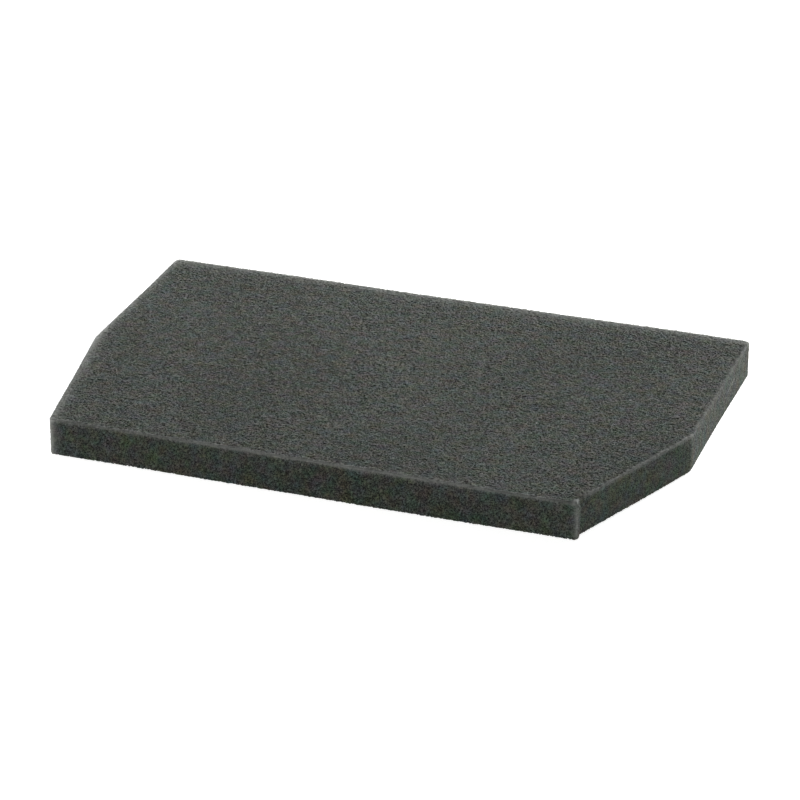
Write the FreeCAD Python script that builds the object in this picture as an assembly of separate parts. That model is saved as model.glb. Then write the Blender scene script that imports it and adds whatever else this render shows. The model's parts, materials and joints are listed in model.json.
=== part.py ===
import FreeCAD, Part

import os

# Foam element of a small engine's air filter: one flat pad, die-cut from a stock sheet of open-cell
# (reticulated) polyurethane foam. It lies loose in the engine's airbox and nothing is fastened to it,
# so the pad is the whole object.
#
# Frame: millimetres, +Z up. X runs along the pad's length, from the left edge to the right edge, and Y
# from the front edge to the rear edge. The origin is the centre of the bounding box's underside.
# The rear corners are square. Each front corner is cut away by one straight slanting edge, and the two
# cuts differ, so the pad fits its pocket one way round only.

# Driving dimensions
LENGTH = 196.0          # left edge to right edge
DEPTH = 124.0           # front edge to rear edge
THICKNESS = 12.0        # thickness of the foam sheet
LEFT_CUT_WIDTH = 11.0   # front left cut, along the length
LEFT_CUT_DEPTH = 58.5   # front left cut, along the depth
RIGHT_CUT_WIDTH = 21.0  # front right cut, along the length
RIGHT_CUT_DEPTH = 53.0  # front right cut, along the depth
CORNER_RADIUS = 1.5     # the upright corners, where the cutting blade is bent
RIM_RADIUS = 0.8        # top and bottom rims, which the blade's pressure rolls over


def outline():
    """The pad's outline with sharp corners, at Z = 0: a closed wire, anticlockwise from above."""
    left, right = -LENGTH / 2, LENGTH / 2
    front, rear = -DEPTH / 2, DEPTH / 2
    corners = [
        (left + LEFT_CUT_WIDTH, front),
        (right - RIGHT_CUT_WIDTH, front),
        (right, front + RIGHT_CUT_DEPTH),
        (right, rear),
        (left, rear),
        (left, front + LEFT_CUT_DEPTH),
    ]
    points = [FreeCAD.Vector(x, y, 0) for x, y in corners]
    return Part.makePolygon(points + points[:1])


def is_upright(edge):
    """True for an edge that runs the full thickness of the sheet."""
    box = edge.BoundBox
    return box.ZLength > THICKNESS / 2


def is_rim(edge):
    """True for an edge that lies in the top or the bottom face."""
    box = edge.BoundBox
    return box.ZLength < RIM_RADIUS / 2


def filter_foam():
    """The pad: the outline through the sheet's thickness, with its corners and then its rims rounded."""
    blank = Part.Face(outline()).extrude(FreeCAD.Vector(0, 0, THICKNESS))
    cornered = blank.makeFillet(CORNER_RADIUS, [e for e in blank.Edges if is_upright(e)])
    return cornered.makeFillet(RIM_RADIUS, [e for e in cornered.Edges if is_rim(e)])


NODES = {"filter_foam": filter_foam}

os.makedirs("parts", exist_ok=True)
for name, make in NODES.items():
    make().exportStep(f"parts/{name}.step")
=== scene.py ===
"""Foam filter pad: the flat die-cut foam element of a small engine's air filter, on a plain studio floor.

The pad is one piece of charcoal reticulated foam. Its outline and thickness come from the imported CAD
model; this file gives it its open cells, its soft rims, the marks that the cutting die left, and its
colour.
"""

import json
import math

import bmesh
import bpy
from mathutils import Matrix, Vector, noise


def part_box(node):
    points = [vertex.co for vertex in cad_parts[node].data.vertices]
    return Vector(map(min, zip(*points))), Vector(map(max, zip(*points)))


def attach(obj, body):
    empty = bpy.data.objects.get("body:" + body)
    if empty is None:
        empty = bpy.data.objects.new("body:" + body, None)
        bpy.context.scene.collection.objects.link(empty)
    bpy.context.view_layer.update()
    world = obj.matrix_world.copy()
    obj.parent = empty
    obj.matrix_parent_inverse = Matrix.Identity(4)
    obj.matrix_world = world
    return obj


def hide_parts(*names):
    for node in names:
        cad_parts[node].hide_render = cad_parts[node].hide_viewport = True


bl_info = {
    "name": "Foam Filter Pad",
    "version": (1, 0, 0),
    "blender": (4, 5, 0),
    "location": "View3D > Sidebar > Filter Pad",
    "description": "Makes a die-cut pad of reticulated filter foam and a studio to show it in",
    "category": "Add Mesh",
}

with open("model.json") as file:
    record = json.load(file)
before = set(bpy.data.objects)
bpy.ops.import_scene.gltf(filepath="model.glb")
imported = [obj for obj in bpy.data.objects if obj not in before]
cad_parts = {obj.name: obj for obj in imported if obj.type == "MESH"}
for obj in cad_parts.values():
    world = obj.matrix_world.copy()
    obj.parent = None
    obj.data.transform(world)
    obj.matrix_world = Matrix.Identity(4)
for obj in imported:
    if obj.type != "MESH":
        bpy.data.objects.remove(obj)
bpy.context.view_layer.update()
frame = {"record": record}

MM = 0.001
PAD_NODE = "filter_foam"
# The name of the map that the pad brings with it.
MAP_NAME = "OFBake"
# The pad's upright faces, anticlockwise from above, by the names of the mounts that state them.
UPRIGHT_FACES = (
    "front_edge",
    "right_cut_edge",
    "right_edge",
    "rear_edge",
    "left_edge",
    "left_cut_edge",
)


def linear(hex_colour, alpha=1.0):
    """An sRGB hex colour, such as "#4a4c48", as linear red, green, blue and alpha."""
    parts = [int(hex_colour[i : i + 2], 16) / 255 for i in (1, 3, 5)]
    return (
        *(c / 12.92 if c <= 0.04045 else ((c + 0.055) / 1.055) ** 2.4 for c in parts),
        alpha,
    )


# ---------------------------------------------------------------------------------------------- settings


class FoamPadSettings(bpy.types.PropertyGroup):
    """Sizes and colours of the foam."""

    corner_radius: bpy.props.FloatProperty(
        name="Corner radius",
        description="Rounding of the upright corners",
        default=1.2 * MM,
        min=0.0,
        unit="LENGTH",
    )
    rim_radius: bpy.props.FloatProperty(
        name="Rim radius",
        description="Rounding of the top and bottom rims",
        default=0.5 * MM,
        min=0.0,
        unit="LENGTH",
    )
    cell_size: bpy.props.FloatProperty(
        name="Cell size",
        description="Distance from one foam cell to the next, across the pad",
        default=0.54 * MM,
        min=0.2 * MM,
        unit="LENGTH",
    )
    cell_stretch: bpy.props.FloatProperty(
        name="Cell stretch",
        description="How many times longer a cell is along the pad's depth, the way the foam rose",
        default=1.6,
        min=1.0,
    )
    strut_height: bpy.props.FloatProperty(
        name="Strut height",
        description="How far the cut strut ends stand above the sheet's surface",
        default=0.2 * MM,
        min=0.0,
        unit="LENGTH",
    )
    cell_depth: bpy.props.FloatProperty(
        name="Cell depth",
        description="How deep the cells that the blade opened go below the surface",
        default=0.1 * MM,
        min=0.0,
        unit="LENGTH",
    )
    mesh_size: bpy.props.FloatProperty(
        name="Mesh size",
        description="Side of the mesh's squares, at most half a cell",
        default=0.27 * MM,
        min=0.1 * MM,
        unit="LENGTH",
    )
    strut_colour: bpy.props.FloatVectorProperty(
        name="Strut colour",
        description="Colour of the foam's struts where they catch the light",
        default=linear("#565d53"),
        size=4,
        min=0.0,
        max=1.0,
        subtype="COLOR",
    )
    # Painted shade: the colour that the hollows get, where little light reaches.
    hollow_shade_colour: bpy.props.FloatVectorProperty(
        name="Hollow colour",
        description="Colour deep inside an open cell",
        default=linear("#0f100e"),
        size=4,
        min=0.0,
        max=1.0,
        subtype="COLOR",
    )
    # Painted highlight: the pale colour mixed in along the upper rims, at two corners, along a crease and
    # on skinned cells.
    rim_highlight_colour: bpy.props.FloatVectorProperty(
        name="Rim colour",
        description="Colour of the loose strut ends along the upper rims",
        default=linear("#9a9c98"),
        size=4,
        min=0.0,
        max=1.0,
        subtype="COLOR",
    )


class StudioSettings(bpy.types.PropertyGroup):
    """The floor, the lights and the camera."""

    floor_colour: bpy.props.FloatVectorProperty(
        name="Floor colour",
        description="Colour of the acrylic table that the pad lies on",
        default=linear("#f4f4f2"),
        size=4,
        min=0.0,
        max=1.0,
        subtype="COLOR",
    )
    floor_glow: bpy.props.FloatProperty(
        name="Floor glow",
        description="Light that comes up through the table",
        default=0.84,
        min=0.0,
    )
    wall: bpy.props.FloatProperty(
        name="Walls",
        description="Brightness of the white walls and ceiling",
        default=0.15,
        min=0.0,
    )
    wall_foot: bpy.props.FloatProperty(
        name="Foot of the walls",
        description="Brightness of the walls where they meet the floor",
        default=0.95,
        min=0.0,
    )
    azimuth: bpy.props.FloatProperty(
        name="Azimuth",
        description="Direction that the camera looks in, turned left from the pad's depth",
        default=math.radians(19.478),
        subtype="ANGLE",
    )
    elevation: bpy.props.FloatProperty(
        name="Elevation",
        description="How far above the horizon the camera stands",
        default=math.radians(25.912),
        subtype="ANGLE",
    )
    distance: bpy.props.FloatProperty(
        name="Distance",
        description="From the camera to the point that it looks at",
        default=1.0063,
        unit="LENGTH",
    )
    lens: bpy.props.FloatProperty(
        name="Lens",
        description="Focal length in millimetres, on a sensor 36 mm wide",
        default=146.51,
    )


# ------------------------------------------------------------------------------------------- small tools


def finished(bm, name):
    """A new piece that holds the bmesh, which is then freed."""
    mesh = bpy.data.meshes.new(name)
    bm.to_mesh(mesh)
    bm.free()
    piece = bpy.data.objects.new(name, mesh)
    bpy.context.collection.objects.link(piece)
    return piece


def add_node(tree, kind, inputs=None, **settings):
    """Adds a node with its settings. inputs maps an input's name or number to a value or to the socket
    that feeds it."""
    node = tree.nodes.new(kind)
    for name, value in settings.items():
        setattr(node, name, value)
    for name, value in (inputs or {}).items():
        if isinstance(value, bpy.types.NodeSocket):
            tree.links.new(value, node.inputs[name])
        else:
            node.inputs[name].default_value = value
    return node


def new_material(name):
    """An empty node material and its tree."""
    material = bpy.data.materials.new(name)
    material.use_nodes = True
    material.node_tree.nodes.clear()
    return material, material.node_tree


# ------------------------------------------------------------------------------------------- the foam pad


def upright_faces():
    """(point, outward direction) in plan of each upright face, in order round the outline."""
    mounts = {m["name"]: m for m in frame["record"]["mounts"]}
    return [
        (Vector(mounts[name]["pos_m"][:2]), Vector(mounts[name]["axis"][:2]))
        for name in UPRIGHT_FACES
    ]


def meeting_point(face, other):
    """Where two upright faces meet, in plan."""
    (point, out), (other_point, other_out) = face, other
    return Matrix((out, other_out)).inverted() @ Vector(
        (out.dot(point), other_out.dot(other_point))
    )


# The die left a lip on the front right corner: the front face runs on past the corner, and a short
# straight step leads back to the slanting cut.
LIP_REACH = 1.6 * MM
LIP_LENGTH = 3.4 * MM
# The lip's upper part leans back, so that its top rim is softer than the others: how far the rim moves,
# how deep below it the lean starts, and how far from the corner it ends.
LIP_LEAN = 1.0 * MM
LIP_LEAN_SPAN = 3.0 * MM
LIP_LEAN_REACH = 2.5 * LIP_LENGTH
# Each rounding is this many flats, which the even mesh then takes up.
ROUNDING_STEPS = 4


def corner_points():
    """The outline's corners in plan, anticlockwise from the front left one."""
    faces = upright_faces()
    return [meeting_point(a, b) for a, b in zip(faces[-1:] + faces[:-1], faces)]


def outline():
    """The corners with the front right one's lip."""
    corners = corner_points()
    front_right = corners[1]
    along_cut = (corners[2] - front_right).normalized()
    lip_end = front_right + along_cut * LIP_LENGTH
    return [
        corners[0],
        front_right + Vector((LIP_REACH, 0.0)),
        Vector((front_right.x + LIP_REACH, lip_end.y - LIP_LENGTH / 3)),
        lip_end,
        *corners[2:],
    ]


def round_off(bm, edges, radius):
    """Rounds the edges."""
    bmesh.ops.bevel(
        bm,
        geom=edges,
        offset=radius,
        offset_type="OFFSET",
        affect="EDGES",
        segments=ROUNDING_STEPS,
        profile=0.5,
        material=-1,
        clamp_overlap=True,
    )


def cut_blank(settings):
    """The pad as the die leaves it: the outline through the sheet, with rounded corners and rims."""
    low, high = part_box(PAD_NODE)
    bm = bmesh.new()
    base = bm.faces.new([bm.verts.new((x, y, low[2])) for x, y in outline()])
    raised = bmesh.ops.extrude_face_region(bm, geom=[base])["geom"]
    bmesh.ops.translate(
        bm,
        vec=(0.0, 0.0, high[2] - low[2]),
        verts=[v for v in raised if isinstance(v, bmesh.types.BMVert)],
    )
    bmesh.ops.recalc_face_normals(bm, faces=bm.faces)
    uprights = [e for e in bm.edges if e.verts[0].co.z != e.verts[1].co.z]
    round_off(bm, uprights, settings.corner_radius)
    rims = [
        e
        for e in bm.edges
        if e.verts[0].co.z == e.verts[1].co.z and e.calc_face_angle(0.0) > 1.0
    ]
    round_off(bm, rims, settings.rim_radius)
    return bm


def even_mesh(piece, size):
    """Swaps the piece's mesh for one of even squares of this size, which can take the cells."""
    remesh = piece.modifiers.new("even squares", "REMESH")
    remesh.mode = "VOXEL"
    remesh.voxel_size = size
    remesh.adaptivity = 0.0
    evaluated = piece.evaluated_get(bpy.context.evaluated_depsgraph_get())
    old, piece.data = piece.data, bpy.data.meshes.new_from_object(evaluated)
    piece.modifiers.clear()
    bpy.data.meshes.remove(old)
    piece.data.name = piece.name


# The foam swells a little past its cut outline.
SWELL = 0.32 * MM
# The die pressed the sheet down before it cut, so the top droops to these faces' rims: how far at the rim
# itself, and the distance over which that dies away. The other two rims stayed level.
DROOP = 0.1 * MM
DROOP_LENGTH = 1.2 * MM
DROOPING_FACES = ("right_edge", "rear_edge", "left_edge", "left_cut_edge")
# A blade wanders a little in soft foam: how far, over what length, and where in the noise it starts.
WANDER = 0.3 * MM
WANDER_LENGTH = 45.0 * MM
WANDER_START = Vector((3.0, 1.0, 0.0))


def soften(bm):
    """Droops the rims, leans the lip back, swells the outline and lets the faces wander."""
    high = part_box(PAD_NODE)[1]
    corner = corner_points()[1]
    drooping = [
        face for name, face in zip(UPRIGHT_FACES, upright_faces()) if name in DROOPING_FACES
    ]
    for v in bm.verts:
        share = v.co.z / high[2]
        for point, out in drooping:
            inset = max(0.0, out.dot(point - v.co.xy))
            v.co.z -= DROOP * share**2 * math.exp(-inset / DROOP_LENGTH)
        near_lip = 1.0 - (v.co.xy - corner).length / LIP_LEAN_REACH
        near_top = 1.0 - (high[2] - v.co.z) / LIP_LEAN_SPAN
        if near_lip > 0.0 and near_top > 0.0:
            v.co.x -= LIP_LEAN * near_lip * near_top**2
            v.co.y += LIP_LEAN * near_lip * near_top**2 / 2
    moves = []
    for v in bm.verts:
        wander = noise.noise(v.co / WANDER_LENGTH + WANDER_START) * WANDER
        sideways = Vector((v.normal.x, v.normal.y, 0.0))
        moves.append(v.normal * wander + sideways * SWELL)
    for v, move in zip(bm.verts, moves):
        v.co += move


# The painted highlight along each face's upper rim: how strong it is, and the distance over which it
# fades.
RIM_HIGHLIGHT = {
    "front_edge": (1.0, 0.4 * MM),
    "right_cut_edge": (0.75, 0.35 * MM),
    "right_edge": (0.25, 0.9 * MM),
    "rear_edge": (0.85, 1.8 * MM),
    "left_edge": (0.8, 1.2 * MM),
    "left_cut_edge": (0.95, 1.3 * MM),
}
# Some rims' painted highlight fades this many times faster over the top, or down the face.
TOP_FADE = {"right_cut_edge": 1.6, "right_edge": 2.5}
FACE_FADE = {"rear_edge": 4.0, "left_edge": 4.0, "left_cut_edge": 4.0}
# A painted highlight on the upright corners at both ends of the front face, set the same way, by their
# place in outline(). A point whose normal stands steeper than UPRIGHT is on the top or underside, and
# stays as it is.
CORNER_HIGHLIGHT = {0: (0.65, 1.0 * MM), 1: (0.35, 0.45 * MM)}
UPRIGHT = 0.9
# Past this many fading distances there is nothing left to see.
FADED = 6
# A painted highlight along a crease on the right face, where the crease catches the light: its ends, from
# the face's middle along the face and up, its half width and its strength. It only marks points this close
# to the pad's right side.
CREASE = (Vector((9.2 * MM, 0.2 * MM)), Vector((17.3 * MM, 1.3 * MM)))
CREASE_WIDTH = 0.4 * MM
CREASE_HIGHLIGHT = 0.5
CREASE_REACH = 1.0 * MM


def crease_highlight_at(place):
    """The crease's painted highlight at a point, from its place along the right face and up from the
    face's middle.
    """
    start, end = CREASE
    share = min(1.0, max(0.0, (place - start).dot(end - start) / (end - start).length_squared))
    away = (place - start.lerp(end, share)).length
    return CREASE_HIGHLIGHT * max(0.0, 1.0 - away / CREASE_WIDTH)


def mark_painted_highlights(bm):
    """Stores the painted highlight at each point, from 0 to 1, as "pale": along the upper rims, at two
    corners and along a crease.
    """
    low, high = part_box(PAD_NODE)
    faces = [
        (name, point, out, *RIM_HIGHLIGHT[name])
        for name, (point, out) in zip(UPRIGHT_FACES, upright_faces())
    ]
    points = outline()
    corners = [(points[i], *CORNER_HIGHLIGHT[i]) for i in CORNER_HIGHLIGHT]
    right_face = upright_faces()[UPRIGHT_FACES.index("right_edge")][0]
    middle = Vector((right_face.y, (low[2] + high[2]) / 2))
    layer = bm.verts.layers.float.new("pale")
    for v in bm.verts:
        depth = max(0.0, high[2] - v.co.z)
        pale = 0.0
        for name, point, out, strength, width in faces:
            inset = max(0.0, out.dot(point - v.co.xy)) * TOP_FADE.get(name, 1.0)
            drop = depth * FACE_FADE.get(name, 1.0)
            if inset < FADED * width and drop < FADED * width:
                pale += strength * math.exp(-math.hypot(inset, drop) / width)
        for corner, strength, width in corners:
            away = (v.co.xy - corner).length
            if away < FADED * width and abs(v.normal.z) < UPRIGHT:
                pale += strength * math.exp(-max(0.0, away - width / 2) / width)
        # The painted highlight along the crease on the right face.
        if v.co.x > high[0] - CREASE_REACH:
            pale += crease_highlight_at(v.co.yz - middle)
        v[layer] = min(1.0, pale)


# How far a hollow's slope reaches from its strut, as a share of a cell.
SLOPE = 0.38
# Freshly cut cells stand a little out of line with each other: how far, how many times in a cell, and the
# seed that makes them stand the same way in every run.
JITTER = 0.06 * MM
JITTERS = 1.7
JITTER_SEED = 1
# One cell in this many keeps a skin, which glints; the glint is a painted highlight of the strength in the
# third number. Stretching a cell's place by the second number picks a fresh noise value for it.
SKINNED_CELLS = 12000
SKIN_SPREAD = 97.0
SKIN_GLINT = 0.6
# The cells lie along the pad's depth, so the front and rear faces cut them end-on and show deeper
# hollows, and the right and left faces cut them along their length.
END_ON_DEPTH = 1.4
SIDE_ON_DEPTH = 0.6
# How much more a strut's painted highlight stands out from its hollow's painted shade where the cells are
# cut end-on.
END_ON_CONTRAST = 0.8


def open_cells(bm, settings):
    """Raises the cut strut ends a little and sinks the cells that the blade opened between them."""
    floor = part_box(PAD_NODE)[0][2]
    strut = bm.verts.layers.float.new("strut")
    pale = bm.verts.layers.float["pale"]
    across = settings.cell_size
    drop = settings.strut_height + settings.cell_depth
    noise.seed_set(JITTER_SEED)
    moves = []
    for v in bm.verts:
        x, y, z = v.co
        place = Vector((x, y / settings.cell_stretch, z)) / across
        distances, centres = noise.voronoi(place)
        hollow = min(1.0, (distances[1] - distances[0]) / SLOPE)
        # The strut value mixes a strut's painted highlight with its hollow's painted shade.
        v[strut] = 0.5 + (0.5 - hollow) * (1.0 + END_ON_CONTRAST * abs(v.normal.y))
        # A skinned cell's glint is painted on as pale colour.
        if abs(noise.cell(centres[0] * SKIN_SPREAD)) * SKINNED_CELLS < 1.0:
            v[pale] = max(v[pale], SKIN_GLINT)
        nx, ny, nz = (c * c for c in v.normal)
        depth = drop * (nx * SIDE_ON_DEPTH + ny * END_ON_DEPTH + nz)
        out = v.normal * (settings.strut_height - depth * hollow)
        moves.append(out + noise.noise_vector(place * JITTERS) * JITTER)
    for v, move in zip(bm.verts, moves):
        v.co += move
        v.co.z = max(floor, v.co.z)


# The map that a texture bake of the pad uses: this much is left free round each of its parts.
MAP_GAP = 2.0 * MM
# A mesh face whose normal stands steeper than this goes with the top or the underside.
LYING = 0.7
# Near an upright corner a mesh face goes with the strip that it faces: a full turn towards a strip
# outweighs this distance from it.
TURN_WEIGHT = 3.0 * MM


def strip_misfit(strip, centre, normal):
    """How badly a mesh face suits a strip of the map: the lowest is the one it belongs to."""
    point, out = strip[:2]
    return abs(out.dot(centre.xy - point)) - TURN_WEIGHT * out.dot(normal.xy)


def lay_out_map(bm):
    """A flat map of the pad: the top, the underside behind it, and a strip for each upright face."""
    low, high = (Vector(corner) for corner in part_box(PAD_NODE))
    size = high - low
    side = 2 * (size.y + 2 * MAP_GAP)
    corners = corner_points()
    strips = []
    column, start = size.x + 2 * MAP_GAP, MAP_GAP
    for i, (point, out) in enumerate(upright_faces()):
        length = (corners[(i + 1) % len(corners)] - corners[i]).length
        if start + length + MAP_GAP > side:
            column, start = column + size.z + 2 * MAP_GAP, MAP_GAP
        strips.append((point, out, Vector((-out.y, out.x)), column, start + length / 2))
        start += length + 2 * MAP_GAP
    layer = bm.loops.layers.uv.new(MAP_NAME)
    for face in bm.faces:
        normal = face.normal
        if abs(normal.z) > LYING:
            shift = MAP_GAP if normal.z > 0 else 3 * MAP_GAP + size.y
            for loop in face.loops:
                x, y, z = loop.vert.co - low
                loop[layer].uv = ((x + MAP_GAP) / side, (y + shift) / side)
            continue
        centre = face.calc_center_median()
        strip = min(strips, key=lambda strip: strip_misfit(strip, centre, normal))
        point, out, along, column, middle = strip
        for loop in face.loops:
            place = loop.vert.co
            distance = along.dot(place.xy - point)
            loop[layer].uv = ((column + place.z - low.z) / side, (middle + distance) / side)


# Filter foam of this grade has cells 0.5 to 1 mm wide, which the mesh holds. Through each one show the
# struts of the next layer, and the material draws that finer net as a painted highlight on its struts and
# painted shade between them: its cells' width, the share of a cell that a strut's slope takes, and how
# much it weighs against the mesh's own struts.
FINE_CELL = 0.4 * MM
FINE_SLOPE = 0.28
FINE_SHARE = 0.5
# Above 1, only the highest strut ends catch the light.
NET_SHARPNESS = 1.4
# The dye is uneven from one handful of cells to the next: the patches' width, and the least and most that
# red, green and blue are multiplied by.
TINT_PATCH = 4.5 * MM
TINT_LEAST = (0.75, 0.85, 0.75)
TINT_MOST = (1.25, 1.15, 1.25)
# The noise's values that stand for the least and the most.
NOISE_LOW = (0.3, 0.3, 0.3)
NOISE_HIGH = (0.7, 0.7, 0.7)


def foam_material(settings):
    """Reticulated polyurethane foam, dyed charcoal in the mix and cut with a blade.

    Its skinless struts are matt and near black, but the cut ends catch the light, so the eye sees a fine
    pale net over dark hollows. The colour paints that net: a painted highlight on the strut ends and
    painted shade in the hollows, over a pattern that follows the real cells. The rims, two corners, a
    crease and a few skinned cells get a further painted highlight, where they catch more of the light.
    """
    material, tree = new_material("charcoal reticulated polyurethane foam")
    place = add_node(tree, "ShaderNodeTexCoord").outputs["Object"]
    stretched = add_node(
        tree,
        "ShaderNodeMapping",
        {"Vector": place, "Scale": (1.0, 1.0 / settings.cell_stretch, 1.0)},
    )
    cells = add_node(
        tree,
        "ShaderNodeTexVoronoi",
        {"Vector": stretched.outputs[0], "Scale": 1.0 / FINE_CELL},
        feature="DISTANCE_TO_EDGE",
    )
    fine_strut = add_node(
        tree,
        "ShaderNodeMapRange",
        {"Value": cells.outputs["Distance"], "From Max": FINE_SLOPE, "To Min": 1.0, "To Max": 0.0},
    ).outputs[0]
    strut = add_node(tree, "ShaderNodeAttribute", attribute_name="strut").outputs["Fac"]
    pale = add_node(tree, "ShaderNodeAttribute", attribute_name="pale").outputs["Fac"]
    both = add_node(
        tree,
        "ShaderNodeMix",
        {0: FINE_SHARE, 2: strut, 3: fine_strut},
        data_type="FLOAT",
    ).outputs[0]
    net = add_node(tree, "ShaderNodeMath", {0: both, 1: NET_SHARPNESS}, operation="POWER").outputs[0]
    # The net in painted highlight on the struts and painted shade in the hollows.
    plain = add_node(
        tree,
        "ShaderNodeMix",
        {0: net, 6: settings.hollow_shade_colour, 7: settings.strut_colour},
        data_type="RGBA",
    ).outputs[2]
    patches = add_node(
        tree,
        "ShaderNodeTexNoise",
        {"Vector": place, "Scale": 1.0 / TINT_PATCH, "Detail": 2.0, "Roughness": 0.6},
    ).outputs["Color"]
    tint = add_node(
        tree,
        "ShaderNodeMapRange",
        {6: patches, 7: NOISE_LOW, 8: NOISE_HIGH, 9: TINT_LEAST, 10: TINT_MOST},
        data_type="FLOAT_VECTOR",
    ).outputs[1]
    tinted = add_node(
        tree,
        "ShaderNodeMix",
        {0: 1.0, 6: plain, 7: tint},
        data_type="RGBA",
        blend_type="MULTIPLY",
    ).outputs[2]
    # Mixes in the painted highlight that "pale" holds.
    colour = add_node(
        tree,
        "ShaderNodeMix",
        {0: pale, 6: tinted, 7: settings.rim_highlight_colour},
        data_type="RGBA",
    ).outputs[2]
    roughness = add_node(
        tree,
        "ShaderNodeMapRange",
        {"Value": net, "To Min": 0.95, "To Max": 0.75},
    ).outputs[0]
    bump = add_node(
        tree,
        "ShaderNodeBump",
        {"Strength": 0.25, "Distance": 0.15 * MM, "Height": fine_strut},
    ).outputs[0]
    surface = add_node(
        tree,
        "ShaderNodeBsdfPrincipled",
        {
            "Base Color": colour,
            "Roughness": roughness,
            "Normal": bump,
            "IOR": 1.5,
            "Specular IOR Level": 0.3,
        },
    )
    add_node(tree, "ShaderNodeOutputMaterial", {"Surface": surface.outputs[0]})
    return material


class FILTERPAD_OT_foam(bpy.types.Operator):
    """Cut the pad from foam sheet and open its cells"""

    bl_idname = "filter_pad.foam"
    bl_label = "Foam Pad"

    def execute(self, context):
        settings = context.scene.foam_pad
        pad = finished(cut_blank(settings), "foam_pad")
        even_mesh(pad, settings.mesh_size)
        bm = bmesh.new()
        bm.from_mesh(pad.data)
        soften(bm)
        mark_painted_highlights(bm)
        lay_out_map(bm)
        open_cells(bm, settings)
        bm.to_mesh(pad.data)
        bm.free()
        pad.data.materials.clear()
        pad.data.materials.append(foam_material(settings))
        pad.data.shade_smooth()
        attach(pad, "root")
        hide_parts(PAD_NODE)
        return {"FINISHED"}


# ---------------------------------------------------------------------------------------------- the studio


FLOOR_HALF = 6.0
# The walls are pale up to this height, as the sine of the angle above the horizon, where they fade out.
WALL_FOOT_TOP = 0.12
LAMP_DISTANCE = 1.5
LAMP_SIZE = 0.5
# Each soft light's azimuth, turned left from the pad's right side, its elevation and its watts.
LAMPS = {
    "right_rear": (72.0, 15.0, 33.4),
    "left_rear": (122.0, 16.0, 19.8),
    "left": (190.0, 15.0, 6.0),
}
SENSOR_WIDTH = 36.0
# The camera looks at this point, near the pad's middle.
AIM = Vector((4.08 * MM, -3.32 * MM, 6.0 * MM))


def add_light(name, azimuth, elevation, power):
    """A square soft light that faces the pad."""
    light = bpy.data.lights.new(name, "AREA")
    light.energy = power
    light.size = LAMP_SIZE
    lamp = bpy.data.objects.new(name, light)
    a, e = math.radians(azimuth), math.radians(elevation)
    towards = Vector((math.cos(a) * math.cos(e), math.sin(a) * math.cos(e), math.sin(e)))
    place = towards * LAMP_DISTANCE
    lamp.location = place
    lamp.rotation_euler = (-place).to_track_quat("-Z", "Y").to_euler()
    bpy.context.collection.objects.link(lamp)


def light_room(context, settings):
    """White walls: pale where they meet the floor, so that no horizon shows, and dimmer above."""
    world = bpy.data.worlds.new("studio walls")
    world.use_nodes = True
    tree = world.node_tree
    direction = add_node(tree, "ShaderNodeTexCoord").outputs["Generated"]
    height = add_node(tree, "ShaderNodeSeparateXYZ", {0: direction}).outputs["Z"]
    strength = add_node(
        tree,
        "ShaderNodeMapRange",
        {
            "Value": height,
            "From Max": WALL_FOOT_TOP,
            "To Min": settings.wall_foot,
            "To Max": settings.wall,
        },
    ).outputs[0]
    background = tree.nodes["Background"]
    background.inputs["Color"].default_value = (1.0, 1.0, 1.0, 1.0)
    tree.links.new(strength, background.inputs["Strength"])
    context.scene.world = world


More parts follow.
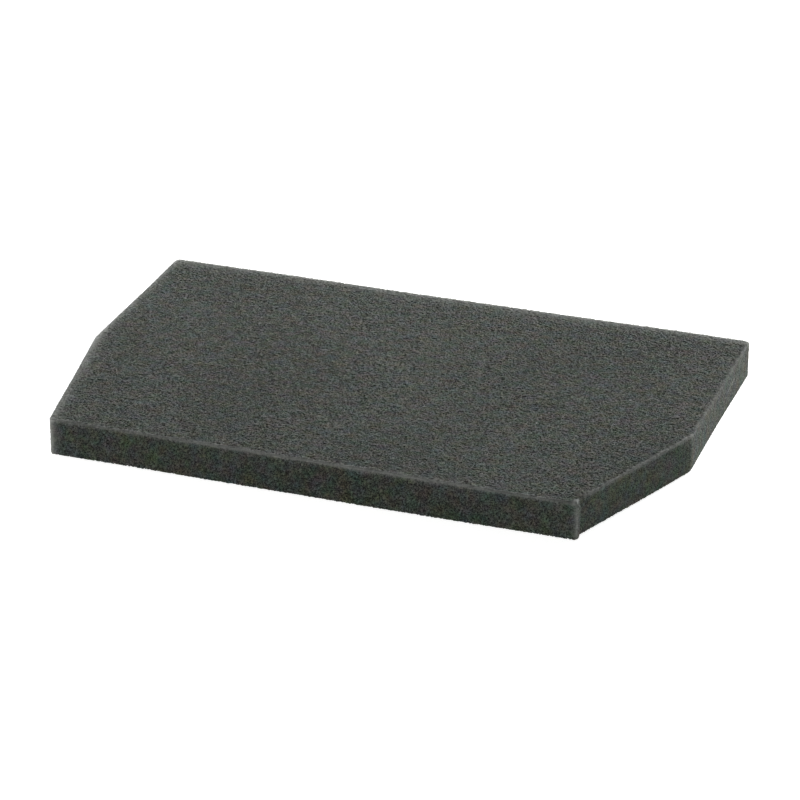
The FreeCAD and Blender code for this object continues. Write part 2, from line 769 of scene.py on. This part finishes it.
class FILTERPAD_OT_studio(bpy.types.Operator):
    """Lay the floor, hang the lights and set up the camera"""

    bl_idname = "filter_pad.studio"
    bl_label = "Studio"

    def execute(self, context):
        settings = context.scene.filter_studio
        bm = bmesh.new()
        bmesh.ops.create_grid(bm, x_segments=1, y_segments=1, size=FLOOR_HALF)
        floor = finished(bm, "floor")
        material, tree = new_material("lit white acrylic")
        acrylic = add_node(
            tree,
            "ShaderNodeBsdfPrincipled",
            {
                "Base Color": settings.floor_colour,
                "Roughness": 0.9,
                "Emission Color": (1.0, 1.0, 1.0, 1.0),
                "Emission Strength": settings.floor_glow,
            },
        )
        add_node(tree, "ShaderNodeOutputMaterial", {"Surface": acrylic.outputs[0]})
        floor.data.materials.append(material)

        light_room(context, settings)
        for name, (azimuth, elevation, power) in LAMPS.items():
            add_light(name, azimuth, elevation, power)
        context.scene.view_settings.view_transform = "Standard"

        camera_data = bpy.data.cameras.new("camera")
        camera_data.lens = settings.lens
        camera_data.sensor_width = SENSOR_WIDTH
        camera = bpy.data.objects.new("camera", camera_data)
        a, e = settings.azimuth, settings.elevation
        back = Vector((math.sin(a) * math.cos(e), -math.cos(a) * math.cos(e), math.sin(e)))
        camera.location = AIM + back * settings.distance
        camera.rotation_euler = (-back).to_track_quat("-Z", "Y").to_euler()
        context.collection.objects.link(camera)
        context.scene.camera = camera
        return {"FINISHED"}


class FILTERPAD_PT_panel(bpy.types.Panel):
    """The pad's pieces and its studio, in the 3D view's sidebar"""

    bl_label = "Filter Pad"
    bl_space_type = "VIEW_3D"
    bl_region_type = "UI"
    bl_category = "Filter Pad"

    def draw(self, context):
        layout = self.layout
        for settings, operator in (
            (context.scene.foam_pad, FILTERPAD_OT_foam),
            (context.scene.filter_studio, FILTERPAD_OT_studio),
        ):
            box = layout.box()
            for name in settings.__annotations__:
                box.prop(settings, name)
            box.operator(operator.bl_idname)


CLASSES = (
    FoamPadSettings,
    StudioSettings,
    FILTERPAD_OT_foam,
    FILTERPAD_OT_studio,
    FILTERPAD_PT_panel,
)


def register():
    for cls in CLASSES:
        bpy.utils.register_class(cls)
    bpy.types.Scene.foam_pad = bpy.props.PointerProperty(type=FoamPadSettings)
    bpy.types.Scene.filter_studio = bpy.props.PointerProperty(type=StudioSettings)


def unregister():
    del bpy.types.Scene.filter_studio
    del bpy.types.Scene.foam_pad
    for cls in reversed(CLASSES):
        bpy.utils.unregister_class(cls)


def main():
    """Makes the pad and its studio."""
    register()
    bpy.ops.filter_pad.studio()
    bpy.ops.filter_pad.foam()


if __name__ == "__main__":
    main()
